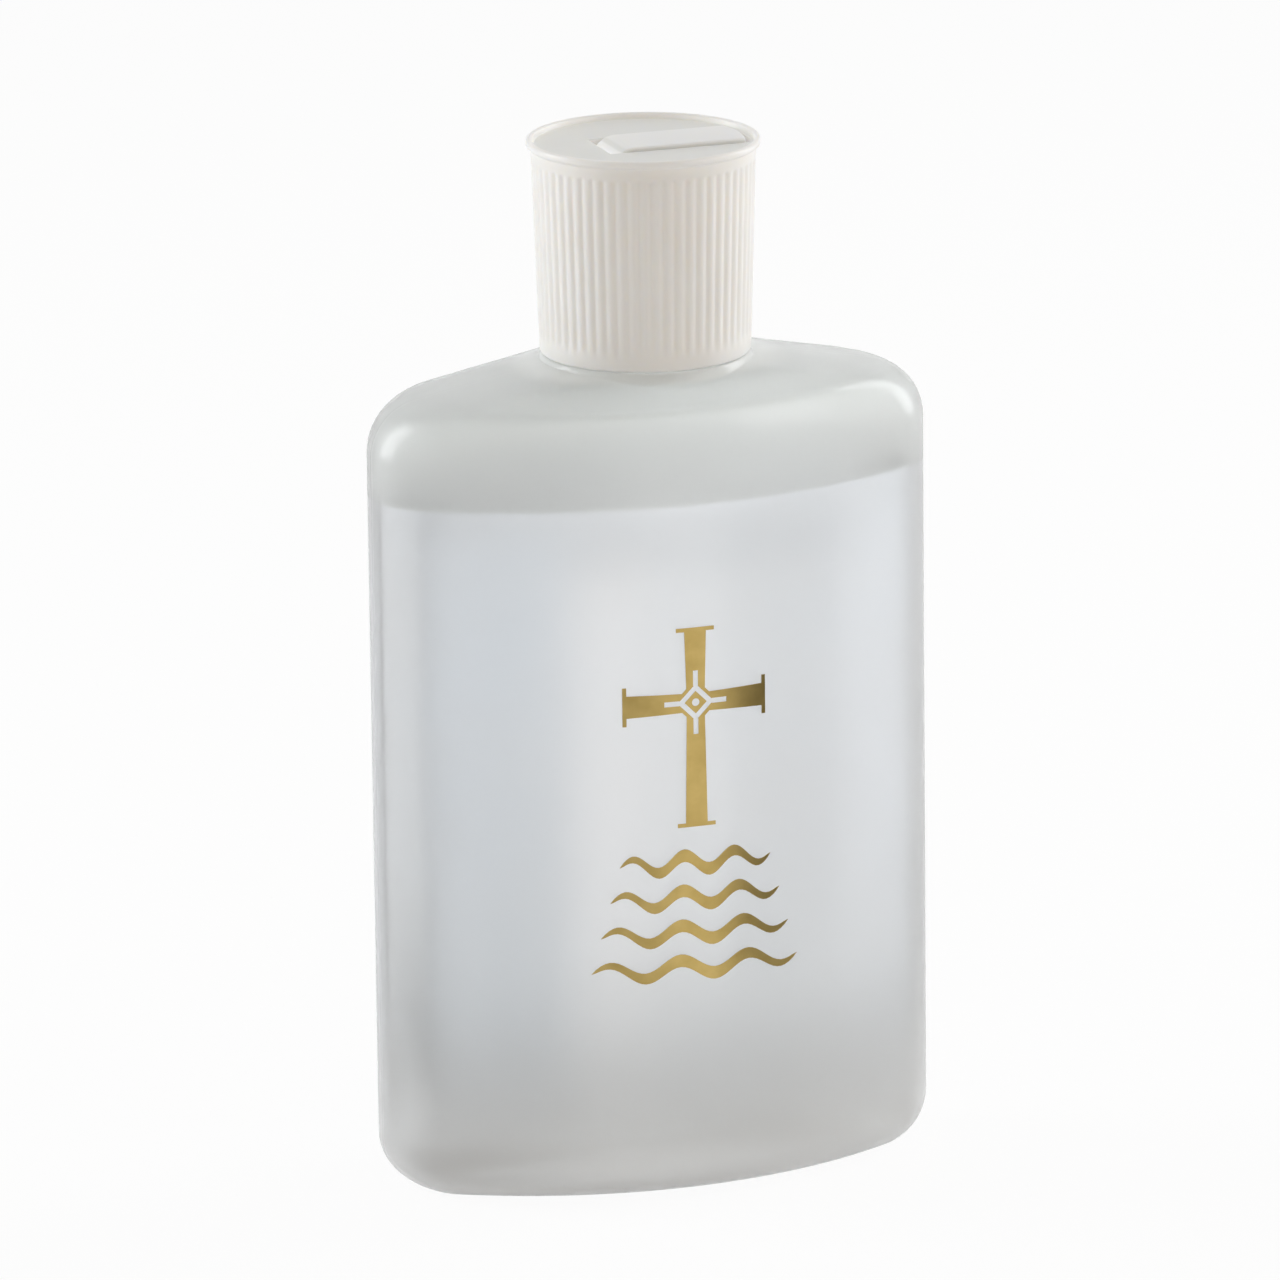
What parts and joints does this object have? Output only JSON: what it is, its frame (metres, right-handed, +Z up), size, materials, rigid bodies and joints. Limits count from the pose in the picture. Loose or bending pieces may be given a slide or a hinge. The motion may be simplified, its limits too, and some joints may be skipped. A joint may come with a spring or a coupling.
{
  "type": "holy water bottle",
  "caption": "Flat oval squeeze bottle for holy water, of translucent plastic with a gold foil cross, a ribbed screw cap and a flip-up spout.",
  "frame": {"origin": "middle of the face that the bottle stands on", "axes": "+Z up through the neck, +X to the right along the width, -Y to the front, which carries the cross"},
  "size_m": [0.0654, 0.0318, 0.12],
  "materials": {
    "translucent_plastic": "satin",
    "water": "gloss",
    "gold_foil": "polished",
    "liner_foam": "matte",
    "white_plastic": "satin"
  },
  "bodies": {
    "bottle": {"bottle": "translucent_plastic", "water": "water", "foil_cross": "gold_foil", "foil_waves": "gold_foil"},
    "liner": {"sealing_liner": "liner_foam"},
    "cap": {"cap_body": "white_plastic"},
    "spout": {"flip_spout": "white_plastic"}
  },
  "joints": [
    {"name": "cap_lift", "type": "slide", "parent": "bottle", "child": "liner", "axis": [0, 0, 1], "range_m": [0, 0.00477]},
    {"name": "cap_turn", "type": "hinge", "parent": "liner", "child": "cap", "pos_m": [0, 0, 0.1093], "axis": [0, 0, 1], "range_deg": [0, 540]},
    {"name": "spout_flip", "type": "hinge", "parent": "cap", "child": "spout", "pos_m": [-0.0022, 0, 0.117], "axis": [0, -1, 0], "range_deg": [0, 90]}
  ],
  "couplings": [
    {"joint": "cap_lift", "follows": "cap_turn", "m_per_rad": 0.00050532}
  ]
}
